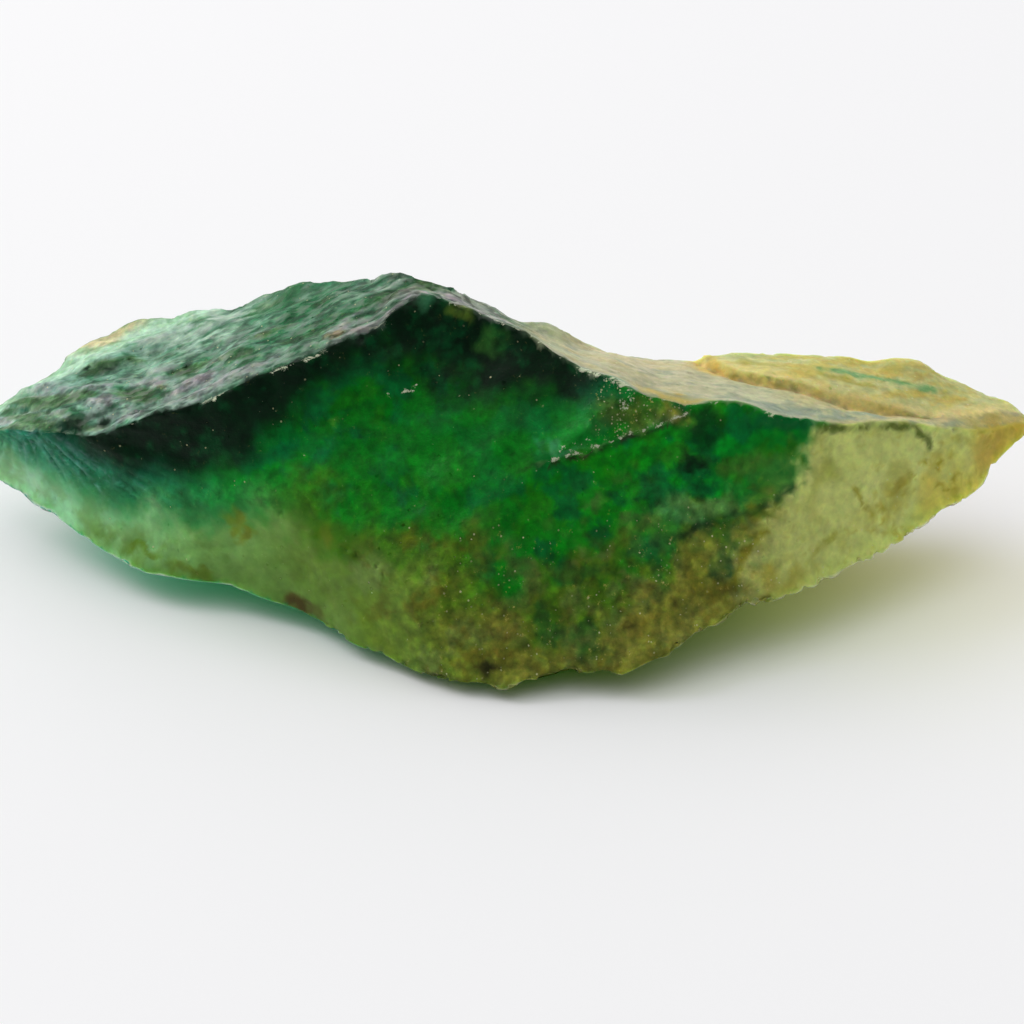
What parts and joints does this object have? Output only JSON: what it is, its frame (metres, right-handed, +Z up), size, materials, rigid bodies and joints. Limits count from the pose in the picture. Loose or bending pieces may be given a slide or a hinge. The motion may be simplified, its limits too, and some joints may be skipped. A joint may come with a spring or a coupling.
{
  "type": "raw fluorite",
  "caption": "Rough broken piece of green and pale yellow fluorite, long and pointed at both ends, with a sharp top ridge and a flat break it rests on.",
  "frame": {"origin": "centre of the bounding box, at the height of the surface the stone rests on", "axes": "+X towards the pale yellow pointed end, along the stone's length; +Y towards the back; +Z up"},
  "size_m": [0.07, 0.0284, 0.0202],
  "materials": {
    "green_fluorite": "translucent broken crystal, satin with small glints"
  },
  "bodies": {
    "root": {"fluorite_stone": "green_fluorite"}
  },
  "joints": []
}
